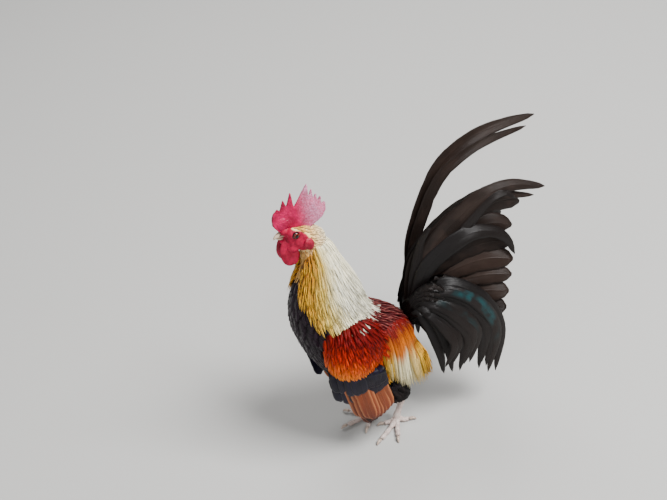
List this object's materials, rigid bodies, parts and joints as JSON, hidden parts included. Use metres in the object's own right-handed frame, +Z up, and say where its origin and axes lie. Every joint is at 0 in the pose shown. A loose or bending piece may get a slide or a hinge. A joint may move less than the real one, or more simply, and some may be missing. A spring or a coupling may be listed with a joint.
{
  "type": "serama cock, standing",
  "caption": "A small bantam cock standing upright, with a tall red comb, a cream and gold hackle, drooped copper wings and a high black tail.",
  "frame": {"origin": "on the floor under the middle of the bird's bounding box", "axes": "+Z up, the bird faces -Y and its left side is +X"},
  "size_m": [0.0978, 0.2398, 0.2552],
  "materials": {
    "black_plumage": "satin",
    "hackle_plumage": "satin",
    "wing_plumage": "satin",
    "comb_skin": "satin",
    "earlobe_skin": "matte",
    "horn": "satin",
    "eye": "gloss",
    "leg_scales": "satin"
  },
  "bodies": {
    "root": {"beak_lower": "horn", "beak_upper": "horn", "claw_left_1": "horn", "claw_left_2": "horn", "claw_left_3": "horn", "claw_left_4": "horn", "claw_right_1": "horn", "claw_right_2": "horn", "claw_right_3": "horn", "claw_right_4": "horn", "comb": "comb_skin", "earlobe_left": "earlobe_skin", "earlobe_right": "earlobe_skin", "eye_left": "eye", "eye_right": "eye", "foot_left": "leg_scales", "foot_right": "leg_scales", "head": "comb_skin", "neck": "hackle_plumage", "shank_left": "leg_scales", "shank_right": "leg_scales", "spur_left": "horn", "spur_right": "horn", "tail_fan_left": "black_plumage", "tail_fan_right": "black_plumage", "tail_sickles_left": "black_plumage", "tail_sickles_right": "black_plumage", "thigh_left": "black_plumage", "thigh_right": "black_plumage", "torso": "black_plumage", "wattle_left": "comb_skin", "wattle_right": "comb_skin", "wing_left": "wing_plumage", "wing_right": "wing_plumage"}
  },
  "joints": []
}
